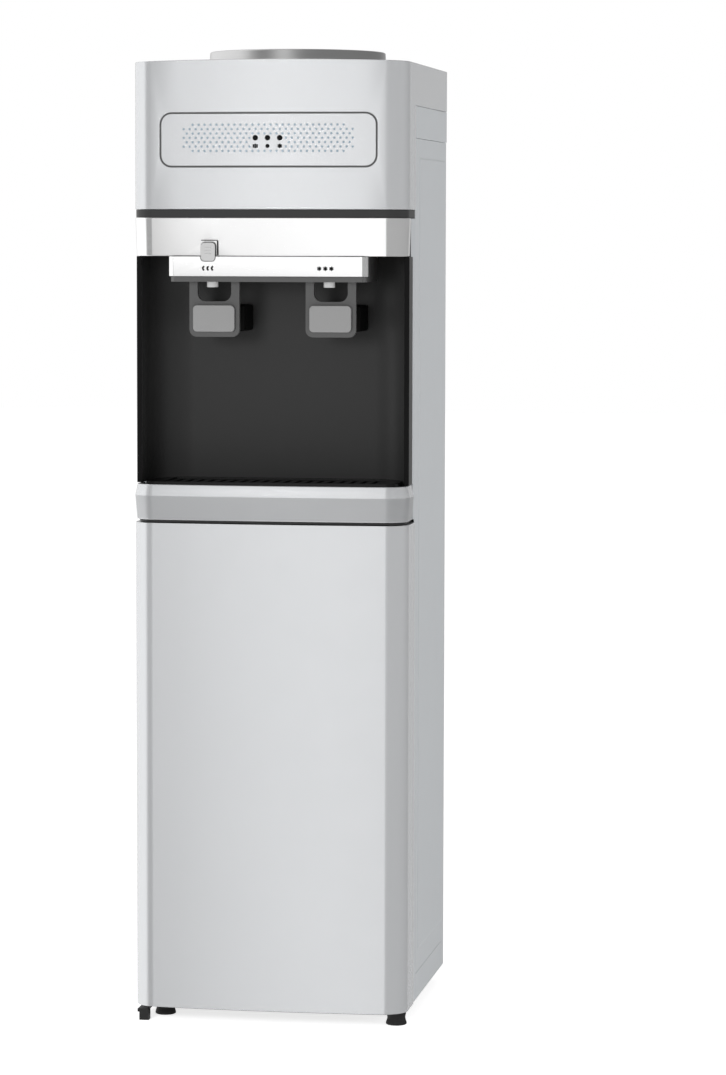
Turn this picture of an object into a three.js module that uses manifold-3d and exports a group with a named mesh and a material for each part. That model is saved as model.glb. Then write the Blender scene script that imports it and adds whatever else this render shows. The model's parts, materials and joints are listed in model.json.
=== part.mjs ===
// Floor-standing water dispenser: hot and cold taps over a cup bay, storage cupboard below,
// bottle seat on top. Millimetres, +Z up, front faces -Y, floor at z = 0.

import * as THREE from "three";
import { mergeVertices } from "three/addons/utils/BufferGeometryUtils.js";
import Module from "manifold-3d";

const wasm = await Module();
wasm.setup();

// ---- driving dimensions ----
const HALF = 150; // half the body width
const FRONT = -147; // nominal front plane at the ends of the flat
const BACK = 152; // rear edge of the body
const CORNER = 24.6; // radius of the two front vertical corners
const BOW = 4; // how far the front bulges in the middle
const SEAM_Y = -82; // where mouldings end and the steel side panels begin
const GAP = 0.4; // working gap between neighbouring pieces
const SKIN = 2.5; // plastic wall
const SHEET = 1.2; // steel sheet

const BASE_Z = 13; // underside of the base plate
const BODY_Z = 17; // underside of door and side panels
const DOOR_TOP = 546.5;
const SHELF_Z = 547.4;
const TRAY_Z = 549.9;
const TRAY_CREASE = 576;
const TRAY_TOP = 588.2;
const LINER_TOP = 846;
const FASCIA_Z = 834.5;
const STRIP_Z = 875.7;
const HEAD_Z = 884.5;
const PANEL_TOP = 961.5;
const FRAME_TOP = 996.3;
const COVER_Z = 1041.8; // height of the top edge at the corners
const DOME = 2.5; // rise of the cover towards the middle
const COLLAR_TOP = 1058.6;

const RAIL_Y = -98.7; // front edge of the two side rails
const WALL_Y = -123; // front edge of the cup bay's side walls
const WALL_IN = 143.8; // inner face of the cup bay's side walls
const BAY_BACK = -47; // front face of the cup bay's back wall
const BAY_RADIUS = 45;

const TAP_X = 63.8; // taps stand at plus and minus this
const SPOUT_Y = -131;
const BAR_Z = 812.8;
const BAR_HALF = 108.4;
const BAR_FRONT = -151.8;
const LIP_Z = 807;
const LEVER_HALF = 27.5;
const LEVER_Y = -122; // front face of the lever frame
const LEVER_Z = 747.3;
const PIVOT_Y = -119.5;
const PIVOT_Z = 822;

const HINGE_X = -144.5;
const HINGE_Y = -87.5;
const HINGE_ROUND = 5.5;

const TANK_Y = 45;
const SEAT_Y = 30; // centre of the bottle seat
const REAR_Y = 131; // rear panel
const SWITCH_Z = 890;
const DRAIN_X = 105;
const DRAIN_Z = 545;

// ---- finishes ----
const SILVER = { color: 0xd2d4d6, roughness: 0.35, metalness: 0.2 };
const SILVER_STEEL = { color: 0xb6babd, roughness: 0.4, metalness: 0.3 };
const WHITE = { color: 0xf7f7f5, roughness: 0.25, metalness: 0 };
const CHARCOAL = { color: 0x2c2b2d, roughness: 0.4, metalness: 0 };
const DARK_GREY = { color: 0x47474a, roughness: 0.45, metalness: 0 };
const MID_GREY = { color: 0x8f9092, roughness: 0.45, metalness: 0 };
const LIGHT_GREY = { color: 0xbcbdbf, roughness: 0.4, metalness: 0 };
const STEEL = { color: 0xc4c6c8, roughness: 0.25, metalness: 1 };
const ZINC = { color: 0x8e9294, roughness: 0.5, metalness: 0.9 };
const COPPER = { color: 0xb4693d, roughness: 0.3, metalness: 1 };
const BLACK_PAINT = { color: 0x1b1c1e, roughness: 0.45, metalness: 0.2 };
const RUBBER = { color: 0x1d1d1e, roughness: 0.8, metalness: 0 };
const FOAM = { color: 0xe9e7e0, roughness: 0.95, metalness: 0 };
const HOSE = { color: 0xdfe3e4, roughness: 0.5, metalness: 0 };
const BOARD = { color: 0x1f5a36, roughness: 0.5, metalness: 0 };
const BLACK = { color: 0x161617, roughness: 0.2, metalness: 0 };
const LENS = { color: 0x101114, roughness: 0.15, metalness: 0 };
const RED = { color: 0xb02a24, roughness: 0.35, metalness: 0 };
const GREEN = { color: 0x2b7d4f, roughness: 0.35, metalness: 0 };

const group = new THREE.Group();

// ---- solids ----
function solid(geometry) {
  const bare = new THREE.BufferGeometry();
  bare.setAttribute("position", geometry.getAttribute("position"));
  if (geometry.index) bare.setIndex(geometry.index);
  const merged = mergeVertices(bare, 1e-4);
  const data = { numProp: 3, vertProperties: merged.attributes.position.array };
  const triVerts = new Uint32Array(merged.index.array);
  const made = new wasm.Manifold(new wasm.Mesh({ ...data, triVerts }));
  if (made.volume() > 0) return made;
  for (let i = 0; i < triVerts.length; i += 3) {
    [triVerts[i + 1], triVerts[i + 2]] = [triVerts[i + 2], triVerts[i + 1]];
  }
  return new wasm.Manifold(new wasm.Mesh({ ...data, triVerts }));
}

function piece(name, body, finish) {
  const mesh = body.getMesh();
  const geometry = new THREE.BufferGeometry();
  const position = new THREE.BufferAttribute(mesh.vertProperties, 3);
  geometry.setAttribute("position", position);
  geometry.setIndex(new THREE.BufferAttribute(mesh.triVerts, 1));
  geometry.computeVertexNormals();
  const made = new THREE.Mesh(geometry, new THREE.MeshStandardMaterial(finish));
  made.name = name;
  group.add(made);
  return made;
}

// A box given by its limits along each axis.
function box(x0, x1, y0, y1, z0, z1) {
  const geometry = new THREE.BoxGeometry(x1 - x0, y1 - y0, z1 - z0);
  geometry.translate((x0 + x1) / 2, (y0 + y1) / 2, (z0 + z1) / 2);
  return solid(geometry);
}

// A plan outline raised from z0 to z1.
function raise(shape, z0, z1, curveSegments = 3) {
  const settings = { depth: z1 - z0, bevelEnabled: false, curveSegments };
  const geometry = new THREE.ExtrudeGeometry(shape, settings);
  geometry.translate(0, 0, z0);
  return solid(geometry);
}

// An outline in x and z, drawn through from y0 to y1.
function through(shape, y0, y1, curveSegments = 3) {
  const settings = { depth: y1 - y0, bevelEnabled: false, curveSegments };
  const geometry = new THREE.ExtrudeGeometry(shape, settings);
  geometry.rotateX(Math.PI / 2);
  geometry.translate(0, y1, 0);
  return solid(geometry);
}

// An outline in y and z, drawn across from x0 to x1.
function across(shape, x0, x1, curveSegments = 3) {
  const settings = { depth: x1 - x0, bevelEnabled: false, curveSegments };
  const geometry = new THREE.ExtrudeGeometry(shape, settings);
  geometry.rotateX(Math.PI / 2);
  geometry.rotateZ(Math.PI / 2);
  geometry.translate(x0, 0, 0);
  return solid(geometry);
}

// A profile of [radius, height] pairs turned about a vertical line at x, y.
function turned(profile, x, y, sides = 20) {
  const points = profile.map(([radius, height]) => new THREE.Vector2(radius, height));
  const geometry = new THREE.LatheGeometry(points, sides);
  geometry.rotateX(Math.PI / 2);
  geometry.translate(x, y, 0);
  return solid(geometry);
}

// The same, about a line along +Y through x, z, with heights counted from y.
function turnedAlongY(profile, x, y, z, sides = 16) {
  const points = profile.map(([radius, height]) => new THREE.Vector2(radius, height));
  const geometry = new THREE.LatheGeometry(points, sides);
  geometry.translate(x, y, z);
  return solid(geometry);
}

function rod(radius, x0, x1, y, z, sides = 12) {
  const geometry = new THREE.CylinderGeometry(radius, radius, x1 - x0, sides);
  geometry.rotateZ(Math.PI / 2);
  geometry.translate((x0 + x1) / 2, y, z);
  return solid(geometry);
}

// A round tube swept along a smooth curve through the points.
function pipe(points, radius, steps, sides = 8) {
  const section = new THREE.Shape();
  section.absarc(0, 0, radius, 0, 2 * Math.PI, false);
  const route = points.map(([x, y, z]) => new THREE.Vector3(x, y, z));
  const extrudePath = new THREE.CatmullRomCurve3(route, false, "centripetal");
  const settings = { steps, extrudePath, curveSegments: sides / 2, bevelEnabled: false };
  return solid(new THREE.ExtrudeGeometry(section, settings));
}

function union(...bodies) {
  return bodies.reduce((sum, body) => sum.add(body));
}

function cut(body, ...tools) {
  return tools.reduce((rest, tool) => rest.subtract(tool), body);
}

// ---- outlines ----
function polygon(points) {
  return new THREE.Shape(points.map(([a, b]) => new THREE.Vector2(a, b)));
}

function roundedRect(x0, x1, y0, y1, radius) {
  const shape = new THREE.Shape();
  shape.moveTo(x0, y0 + radius);
  shape.absarc(x0 + radius, y0 + radius, radius, Math.PI, 1.5 * Math.PI, false);
  shape.absarc(x1 - radius, y0 + radius, radius, 1.5 * Math.PI, 2 * Math.PI, false);
  shape.absarc(x1 - radius, y1 - radius, radius, 0, 0.5 * Math.PI, false);
  shape.absarc(x0 + radius, y1 - radius, radius, 0.5 * Math.PI, Math.PI, false);
  shape.closePath();
  return shape;
}

// Points of the bowed front with its two round corners, left to right, set in by inset.
function frontCurve(inset, segments = 4) {
  const half = HALF - inset;
  const radius = CORNER - inset;
  const reach = HALF - CORNER;
  const bowRadius = (reach * reach + BOW * BOW) / (2 * BOW) - inset;
  const bowCentre = FRONT - BOW + bowRadius + inset;
  const between = bowRadius - radius;
  const cornerY = bowCentre - Math.sqrt(between * between - reach * reach);
  const lean = Math.atan2(reach, bowCentre - cornerY);
  const curve = new THREE.Path();
  const bottom = 1.5 * Math.PI;
  curve.absarc(radius - half, cornerY, radius, Math.PI, bottom - lean, false);
  curve.absarc(0, bowCentre, bowRadius, bottom - lean, bottom + lean, false);
  curve.absarc(half - radius, cornerY, radius, bottom + lean, 2 * Math.PI, false);
  return curve.getPoints(segments);
}

// Plan of everything inside the outer skin from the front back to y.
function wrapPlan(inset, y) {
  const half = HALF - inset;
  const ends = [new THREE.Vector2(half, y), new THREE.Vector2(-half, y)];
  return [...frontCurve(inset), ...ends];
}

// Plan of a band that follows the skin, wall thick, whose side returns end at y.
function bandPlan(inset, wall, y) {
  const outer = wrapPlan(inset, y);
  const inner = wrapPlan(inset + wall, y);
  const left = outer.pop();
  const innerLeft = inner.pop();
  return [left, ...outer, ...inner.reverse(), innerLeft];
}

// A solid whose plan changes from one level to the next; all plans have equally many points.
function stacked(levels) {
  const count = levels[0].plan.length;
  const vertices = levels.flatMap(({ plan, z }) => plan.flatMap((p) => [p.x, p.y, z]));
  const faces = [];
  for (let level = 0; level < levels.length - 1; level++) {
    for (let i = 0; i < count; i++) {
      const a = level * count + i;
      const b = level * count + ((i + 1) % count);
      faces.push(a, b, b + count, a, b + count, a + count);
    }
  }
  const top = (levels.length - 1) * count;
  const upper = levels[levels.length - 1].plan;
  for (const [a, b, c] of THREE.ShapeUtils.triangulateShape(levels[0].plan, [])) {
    faces.push(a, c, b);
  }
  for (const [a, b, c] of THREE.ShapeUtils.triangulateShape(upper, [])) {
    faces.push(top + a, top + b, top + c);
  }
  const geometry = new THREE.BufferGeometry();
  const position = new THREE.Float32BufferAttribute(vertices, 3);
  geometry.setAttribute("position", position);
  geometry.setIndex(faces);
  return solid(geometry);
}

function prism(plan, z0, z1) {
  return stacked([
    { plan, z: z0 },
    { plan, z: z1 },
  ]);
}

// ---- base and feet ----
const FOOT_RADIUS = 11.4;
const HINGE_LEG = { x0: -145, x1: -134.5, y0: -139, y1: -129.5 };

function foot(name, x, y) {
  const waist = FOOT_RADIUS - 1.6;
  const top = BASE_Z - 0.3;
  const profile = [
    [0, 0],
    [FOOT_RADIUS, 0],
    [FOOT_RADIUS, 2.5],
    [waist, 7],
    [FOOT_RADIUS - 0.6, top],
    [0, top],
  ];
  piece(name, turned(profile, x, y, 20), RUBBER);
}

function basePan() {
  const plate = prism(wrapPlan(17, BACK - 2), BASE_Z, BASE_Z + 3);
  const inner = HALF - 4.5;
  const rimTop = 42;
  const rims = [
    box(inner - SHEET, inner, -78, BACK - 2, BASE_Z + 2, rimTop),
    box(-inner, SHEET - inner, -78, BACK - 2, BASE_Z + 2, rimTop),
    box(-inner, inner, -79.2, -78, BASE_Z + 2, rimTop - 6),
  ];
  const wide = box(-inner, inner, -79.2, BACK - 2, BASE_Z, BASE_Z + 3);
  piece("base_pan", union(plate, wide, ...rims), BLACK_PAINT);
}

function lowerHingeBracket() {
  const { x0, x1, y0, y1 } = HINGE_LEG;
  const leg = box(x0, x1, y0, y1, 0, 12.6);
  const bar = box(x0 - 2, x1 - 2.5, y0, SEAM_Y + 4, 9, 12.6);
  const post = turned([[0, 12], [2, 12], [2, 28], [0, 28]], HINGE_X, HINGE_Y, 12);
  const washer = turned([[0, 12], [4, 12], [4, 16.6], [0, 16.6]], HINGE_X, HINGE_Y, 16);
  piece("lower_hinge_bracket", union(leg, bar, post, washer), RUBBER);
}

// ---- side panels, rear panel, rails ----
const EMBOSS = { y0: -52, y1: 136.5, z0: 71, z1: 941, rise: 0.8, slope: 1.6 };

function sidePanel(name, side) {
  const face = HALF - EMBOSS.rise;
  const flange = face - 11;
  const y0 = SEAM_Y + 0.6;
  const skin = box(face - SHEET, face, y0, BACK, BODY_Z, PANEL_TOP);
  const frontFlange = box(flange, face, y0, y0 + SHEET, BODY_Z, DOOR_TOP - 1);
  const rearFlange = box(flange, face, BACK - SHEET, BACK, BODY_Z, PANEL_TOP);
  const field = polygon([
    [face - 0.5, EMBOSS.y0],
    [face, EMBOSS.y0],
    [HALF, EMBOSS.y0 + EMBOSS.slope],
    [HALF, EMBOSS.y1 - EMBOSS.slope],
    [face, EMBOSS.y1],
    [face - 0.5, EMBOSS.y1],
  ]);
  const slant = polygon([
    [face - 0.5, EMBOSS.z0],
    [face, EMBOSS.z0],
    [HALF, EMBOSS.z0 + EMBOSS.slope],
    [HALF, EMBOSS.z1 - EMBOSS.slope],
    [face, EMBOSS.z1],
    [face - 0.5, EMBOSS.z1],
  ]);
  const raisedField = raise(field, EMBOSS.z0, EMBOSS.z1).intersect(
    through(slant, EMBOSS.y0, EMBOSS.y1),
  );
  const right = union(skin, frontFlange, rearFlange, raisedField);
  piece(name, side > 0 ? right : right.mirror([1, 0, 0]), SILVER_STEEL);
}

function rearPanel() {
  const plate = box(-146, 146, REAR_Y, REAR_Y + SHEET, 190, 990);
  const holes = [
    box(-67.5, -52.5, REAR_Y - 2, REAR_Y + 4, SWITCH_Z - 11.5, SWITCH_Z + 11.5),
    box(-37.5, -22.5, REAR_Y - 2, REAR_Y + 4, SWITCH_Z - 11.5, SWITCH_Z + 11.5),
    box(-119.5, -90.5, REAR_Y - 2, REAR_Y + 4, 218.5, 241.5),
    turnedAlongY([[0, -3], [8, -3], [8, 6], [0, 6]], DRAIN_X, REAR_Y, DRAIN_Z),
  ];
  for (let row = 0; row < 6; row++) {
    const z = 920 + row * 11;
    holes.push(box(20, 120, REAR_Y - 2, REAR_Y + 4, z, z + 4));
  }
  piece("rear_panel", cut(plate, ...holes), ZINC);
}

function frontRail(name, side) {
  const plan = polygon([
    [146.3, RAIL_Y],
    [147.4, RAIL_Y],
    [149.8, SEAM_Y - 2],
    [149.8, SEAM_Y],
    [146.3, SEAM_Y],
  ]);
  const bar = raise(plan, TRAY_Z, STRIP_Z - GAP);
  const notch = box(140, 160, RAIL_Y - 1, -90, TRAY_Z - 1, TRAY_TOP + 0.6);
  const right = cut(bar, notch);
  piece(name, side > 0 ? right : right.mirror([1, 0, 0]), LIGHT_GREY);
}

function tankDeck() {
  const plate = box(-146, 146, -77, REAR_Y - 1, 524, 526);
  const lip = box(-146, 146, -77, -77 + SHEET, 525, 545);
  piece("tank_deck", union(plate, lip), ZINC);
}

// ---- cupboard ----
const LINER = { half: 139, front: -79.8, low: 22, deep: 105, z0: 45, step: 192, z1: 516 };

function linerProfile(inset) {
  const { front, low, deep, z0, step, z1 } = LINER;
  const start = front - (inset ? 2 : 0);
  return polygon([
    [start, z0 + inset],
    [low - inset, z0 + inset],
    [low - inset, step + inset],
    [deep - inset, step + inset],
    [deep - inset, z1 - inset],
    [start, z1 - inset],
  ]);
}

function cabinetLiner() {
  const outer = across(linerProfile(0), -LINER.half, LINER.half);
  const flange = box(-144.5, 144.5, LINER.front, LINER.front + 2, LINER.z0 - 2, LINER.z1 + 5);
  const hollow = across(linerProfile(2), 2 - LINER.half, LINER.half - 2);
  piece("cabinet_liner", cut(union(outer, flange), hollow), LIGHT_GREY);
}

// The hinge side of the door is rounded about the hinge line, so that it turns in its own space.
function doorPlan(inset) {
  const half = HALF - inset;
  const edge = SEAM_Y - 0.4;
  const round = new THREE.Path();
  const radius = HINGE_ROUND - inset;
  round.absarc(HINGE_X, HINGE_Y, radius, 0.5 * Math.PI, Math.PI, false);
  const front = frontCurve(inset);
  return { round: round.getPoints(5), front, right: new THREE.Vector2(half, edge) };
}

function doorShell() {
  const outer = doorPlan(0);
  const inner = doorPlan(SKIN);
  const outline = [...outer.round, ...outer.front, outer.right];
  const back = [inner.right, ...inner.front.reverse(), ...inner.round.reverse()];
  const band = prism([...outline, ...back], BODY_Z, DOOR_TOP);
  const bottom = prism(outline, BODY_Z, BODY_Z + SKIN);
  const top = prism(outline, DOOR_TOP - SKIN, DOOR_TOP);
  const bore = [[0, 0], [2.5, 0], [2.5, 600], [0, 600]];
  piece("door_shell", cut(union(band, bottom, top), turned(bore, HINGE_X, HINGE_Y, 12)), SILVER);
}

function doorInnerPanel() {
  const left = HINGE_X + 4;
  const panel = box(left, HALF - SKIN - GAP, -86.2, -83.8, BODY_Z + 3, DOOR_TOP - 3);
  const field = box(left + 22, HALF - 26, -90, -86, BODY_Z + 30, DOOR_TOP - 30);
  const recess = box(left + 24, HALF - 28, -88, -80, BODY_Z + 32, DOOR_TOP - 32);
  piece("door_inner_panel", cut(union(panel, field), recess), LIGHT_GREY);
}

function doorCatch() {
  piece("door_catch", box(116, 136, -83.3, -80.2, 285, 335), CHARCOAL);
}

// ---- cup bay ----
function trayShelf() {
  const plate = prism(wrapPlan(4, BAY_BACK - 3), SHELF_Z, SHELF_Z + 2);
  const pinTop = SHELF_Z + 0.5;
  const pin = turned([[0, 533], [2, 533], [2, pinTop], [0, pinTop]], HINGE_X, HINGE_Y, 12);
  piece("tray_shelf", union(plate, pin), CHARCOAL);
}

function trayFront() {
  const wall = 3;
  const end = RAIL_Y + 2.5;
  const levels = [
    { plan: bandPlan(1.2, wall, end), z: TRAY_Z },
    { plan: bandPlan(-0.9, wall + 2.1, end), z: TRAY_CREASE },
    { plan: bandPlan(1.8, wall - 0.6, end), z: TRAY_TOP },
  ];
  piece("tray_front", stacked(levels), SILVER);
}

// Plan of what fits between the bay's walls, from the bowed front to the round rear corners.
function basinPlan(inset, setBack = inset) {
  const reach = WALL_IN - 1 - inset;
  const front = frontCurve(5 + setBack).filter((p) => Math.abs(p.x) < reach);
  return [...front, ...bayPlan(-1 - inset, WALL_Y)];
}

function dripBasin() {
  const outer = prism(basinPlan(0.4), TRAY_Z + 0.6, TRAY_TOP - 3);
  const inner = prism(basinPlan(2.4), TRAY_Z + 2.6, TRAY_TOP);
  piece("drip_basin", cut(outer, inner), CHARCOAL);
}

function dripGrille() {
  const side = WALL_IN - 7;
  const back = BAY_BACK - 10;
  const plate = prism(basinPlan(6, 0), TRAY_TOP - 2.6, TRAY_TOP + 3);
  const slots = [];
  const pitch = 12;
  for (let x = -9 * pitch; x <= 9 * pitch; x += pitch) {
    slots.push(box(x - 2.6, x + 2.6, FRONT + 16, back - 12, TRAY_TOP - 5, TRAY_TOP + 5));
  }
  const dish = box(18 - side, side - 18, FRONT + 12, back - 6, TRAY_TOP + 1.6, TRAY_TOP + 6);
  piece("drip_grille", cut(plate, dish, ...slots), BLACK);
}

// The bay's wall: two thick sides joined to the back by round inner corners.
function bayPlan(outward, y) {
  const half = WALL_IN + outward;
  const radius = BAY_RADIUS + outward;
  const back = BAY_BACK + outward;
  const path = new THREE.Path();
  path.moveTo(half, y);
  path.lineTo(half, back - radius);
  path.absarc(half - radius, back - radius, radius, 0, 0.5 * Math.PI, false);
  path.absarc(radius - half, back - radius, radius, 0.5 * Math.PI, Math.PI, false);
  path.lineTo(-half, y);
  return path.getPoints(4);
}

function alcoveLiner() {
  const wall = 2.4;
  const band = [...bayPlan(wall, WALL_Y), ...bayPlan(0, WALL_Y).reverse()];
  const shell = prism(band, TRAY_Z, LINER_TOP);
  const cheeks = [-1, 1].map((side) => {
    const x = [side * (WALL_IN + 1), side * (HALF - 0.6)].sort((a, b) => a - b);
    return box(x[0], x[1], WALL_Y, RAIL_Y - GAP, TRAY_TOP + 0.7, FASCIA_Z - GAP);
  });
  const roofPlan = [...frontCurve(4.5).filter((p) => Math.abs(p.x) < WALL_IN), ...bayPlan(1, WALL_Y)];
  const roof = prism(roofPlan, FASCIA_Z + 1.5, FASCIA_Z + 4);
  const tapHole = box(-BAR_HALF - 2, BAR_HALF + 2, -200, -70, FASCIA_Z, FASCIA_Z + 8);
  const trayRoom = box(-200, 200, -200, RAIL_Y + 6, TRAY_Z - 1, TRAY_TOP + 0.7);
  const fasciaRoom = [-1, 1].map((side) => {
    const x = [side * 145.2, side * 200].sort((a, b) => a - b);
    return box(x[0], x[1], -200, -114, FASCIA_Z - GAP, LINER_TOP + 1);
  });
  const liner = cut(union(shell, roof, ...cheeks), tapHole, trayRoom, ...fasciaRoom);
  piece("alcove_liner", liner, CHARCOAL);
}

// ---- fascia, strip and head ----
const LOCK = { x0: -72.3, x1: -57.1, z0: 829.3, z1: 848.8 };

function lockHole() {
  const { x0, x1, z0, z1 } = LOCK;
  const hole = roundedRect(x0 - 0.5, x1 + 0.5, z0 - 0.5, z1 + 0.5, 4);
  return through(hole, -156, -140, 3);
}

function fasciaBand() {
  const end = -115;
  const levels = [
    { plan: bandPlan(1.6, SKIN, end), z: FASCIA_Z },
    { plan: bandPlan(0.2, SKIN, end), z: STRIP_Z - 0.3 },
  ];
  piece("fascia_band", cut(stacked(levels), lockHole()), WHITE);
}

function trimStrip() {
  const plan = bandPlan(0.8, 3, SEAM_Y - 3);
  piece("trim_strip", prism(plan, STRIP_Z, HEAD_Z - 0.3), CHARCOAL);
}

// Crown of the cover: highest in the middle, everything above it cut away.
function crown(drop) {
  const shape = new THREE.Shape();
  shape.moveTo(-HALF - 5, 800);
  shape.lineTo(HALF + 5, 800);
  shape.lineTo(HALF + 5, COVER_Z - drop);
  shape.quadraticCurveTo(0, COVER_Z + 2 * DOME - drop, -HALF - 5, COVER_Z - drop);
  shape.closePath();
  return through(shape, -200, 200, 12);
}

const DISPLAY = { half: 116.4, z0: 931, z1: 986, radius: 11, groove: 1.8 };

function displayHole() {
  const { half, z0, z1, radius, groove } = DISPLAY;
  const reach = half + groove;
  const hole = roundedRect(-reach, reach, z0 - groove, z1 + groove, radius + groove);
  return through(hole, -200, -120, 4);
}

function topCover() {
  const outer = prism(wrapPlan(0, BACK), HEAD_Z, 1060).intersect(crown(0));
  const hollow = prism(wrapPlan(SKIN, BACK - SKIN), HEAD_Z - 1, 1060).intersect(crown(SKIN));
  const behindSeam = box(-200, 200, SEAM_Y, 200, HEAD_Z - 1, FRAME_TOP + 0.3);
  const seat = turned([[0, 900], [86, 900], [86, 1100], [0, 1100]], 0, SEAT_Y, 40);
  piece("top_cover", cut(outer, hollow, behindSeam, seat, displayHole()), SILVER);
}

function upperFrame() {
  const y0 = SEAM_Y + 0.6;
  const outer = box(-HALF + 0.2, HALF - 0.2, y0, BACK, PANEL_TOP + 0.3, FRAME_TOP);
  const inner = box(SKIN - HALF, HALF - SKIN, y0 - 5, BACK - SKIN, PANEL_TOP - 1, FRAME_TOP + 1);
  piece("upper_frame", cut(outer, inner), SILVER_STEEL);
}

const LAMP_PITCH = 13.3;
const LAMP_Z = 960.5;
const LAMP_RADIUS = 2.7;
const LAMPS = ["lamp_heating", "lamp_power", "lamp_cooling"];

function displayPanel() {
  const { half, z0, z1, radius } = DISPLAY;
  const window = through(roundedRect(-half, half, z0, z1, radius), -200, -143, 4);
  const behind = 6;
  const rimShape = roundedRect(-half - behind, half + behind, z0 - behind, z1 + behind, 14);
  const rim = through(rimShape, -144.3, -142.6, 4);
  const face = prism(wrapPlan(0.3, -110), z0 - 20, z1 + 20).intersect(window);
  const holes = LAMPS.map((_, i) => {
    const reach = LAMP_RADIUS + 0.3;
    const profile = [[0, -5], [reach, -5], [reach, 14], [0, 14]];
    return turnedAlongY(profile, (i - 1) * LAMP_PITCH, -150, LAMP_Z, 16);
  });
  piece("display_panel", cut(union(face, rim), ...holes), SILVER);
}

function lamps() {
  LAMPS.forEach((name, i) => {
    const profile = [[0, 0], [1.6, 0], [LAMP_RADIUS, 1.1], [LAMP_RADIUS, 10], [0, 10]];
    piece(name, turnedAlongY(profile, (i - 1) * LAMP_PITCH, -151.2, LAMP_Z, 16), LENS);
  });
  piece("display_board", box(-34, 34, -140.8, -139.2, 944, 976), BOARD);
}

// ---- bottle seat ----
function bottleSeat() {
  const base = COVER_Z + DOME + 0.2;
  const ring = [
    [81, base],
    [102, base],
    [102, base + 1.4],
    [98.4, base + 2.4],
    [97.6, COLLAR_TOP - 1.2],
    [96.4, COLLAR_TOP],
    [84, COLLAR_TOP],
    [81, COLLAR_TOP - 3],
    [81, base],
  ];
  piece("bottle_collar", turned(ring, 0, SEAT_Y, 40), STEEL);
  const bowl = [
    [80.4, base + 5],
    [78, base + 5],
    [34, 992],
    [31, 966],
    [10.6, 966],
    [10.6, 963.5],
    [33.5, 963.5],
    [36.5, 990],
    [80.4, base + 2],
    [80.4, base + 5],
  ];
  piece("bottle_funnel", turned(bowl, 0, SEAT_Y, 32), CHARCOAL);
  const spike = [
    [0, 1013],
    [5, 1003],
    [5, 946],
    [8, 946],
    [10.2, 966.4],
    [15, 966.4],
    [15, 969],
    [10, 969],
    [9, 1006],
    [3, 1018],
    [0, 1018],
  ];
  piece("feed_spike", turned(spike, 0, SEAT_Y, 16), LIGHT_GREY);
}

// ---- tanks and plumbing ----
const COLD = { radius: 60, z0: 762, z1: 925 };
const HOT = { radius: 46, z0: 584, z1: 706 };

function coldTank() {
  const { radius, z0, z1 } = COLD;
  const cup = [
    [0, z0],
    [radius - 8, z0],
    [radius, z0 + 8],
    [radius, z1],
    [radius - 6, z1],
    [radius - 6, z1 - 1.5],
    [radius - 1.5, z1 - 1.5],
    [radius - 1.5, z0 + 9],
    [radius - 9, z0 + 1.5],
    [0, z0 + 1.5],
  ];
  piece("cold_tank", turned(cup, 0, TANK_Y, 28), STEEL);
  const outer = turned([[0, 742], [84, 742], [84, 942], [0, 942]], 0, TANK_Y, 28);
  const inner = turned([[0, 758], [70, 758], [70, 930], [0, 930]], 0, TANK_Y, 28);
  const mouth = turned([[0, 925], [18, 925], [18, 950], [0, 950]], 0, SEAT_Y, 16);
  const coldWay = pipe(coldRoute(), 5, 16, 6);
  piece("cold_tank_jacket", cut(outer, inner, mouth, coldWay), FOAM);
  const turns = 4;
  const points = [];
  for (let i = 0; i <= turns * 12; i++) {
    const angle = (i / 12) * 2 * Math.PI;
    points.push([65.2 * Math.cos(angle), TANK_Y + 65.2 * Math.sin(angle), 775 + i * 0.9]);
  }
  piece("evaporator_coil", pipe(points, 3, turns * 12, 6), COPPER);
}

function hotTank() {
  const { radius, z0, z1 } = HOT;
  const shell = [
    [0, z1 - 2],
    [radius - 9, z1 - 2],
    [radius - 2, z1 - 9],
    [radius - 2, z0 + 8],
    [radius - 8, z0 + 2],
    [6, z0 + 2],
    [6, z0 - 16],
    [8, z0 - 16],
    [8, z0],
    [radius - 6, z0],
    [radius, z0 + 6],
    [radius, z0 + 30],
    [radius + 2.5, z0 + 30],
    [radius + 2.5, z0 + 66],
    [radius, z0 + 66],
    [radius, z1 - 8],
    [radius - 8, z1],
    [0, z1],
  ];
  piece("hot_tank", turned(shell, 0, TANK_Y, 24), STEEL);
}

function hotRoute() {
  return [
    [-25, 35, HOT.z1 + 0.8],
    [-25, 35, 714],
    [-60, 5, 728],
    [-100, -18, 745],
    [-104, -26, 800],
    [-98, -34, 848],
    [-72, -56, 856],
    [-TAP_X, -90, 848],
    [-TAP_X, -119.8, 838],
  ];
}

function coldRoute() {
  return [
    [49, 3, 850],
    [58, -12, 853],
    [TAP_X, -50, 855],
    [TAP_X, -90, 848],
    [TAP_X, -119.8, 838],
  ];
}

function plumbing() {
  piece("hot_pipe", pipe(hotRoute(), 4, 30, 6), HOSE);
  piece("cold_pipe", pipe(coldRoute(), 4, 16, 6), HOSE);
  const transfer = [
    [20, 75, 741.5],
    [20, 76, 728],
    [18, 62, 718],
    [18, 62, HOT.z1 + 0.8],
  ];
  piece("transfer_pipe", pipe(transfer, 4, 12, 6), HOSE);
  const drain = [
    [0, TANK_Y, HOT.z0 - 16.5],
    [0, TANK_Y, 556],
    [25, 52, DRAIN_Z],
    [85, 80, DRAIN_Z],
    [DRAIN_X, 105, DRAIN_Z],
    [DRAIN_X, REAR_Y + 0.5, DRAIN_Z],
  ];
  piece("drain_pipe", pipe(drain, 5, 20, 6), HOSE);
  const cap = [[0, 0], [10.5, 0], [11, 9], [6, 9.5], [6, 12], [0, 12]];
  piece("drain_plug", turnedAlongY(cap, DRAIN_X, REAR_Y + 2, DRAIN_Z, 16), WHITE);
}

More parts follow.
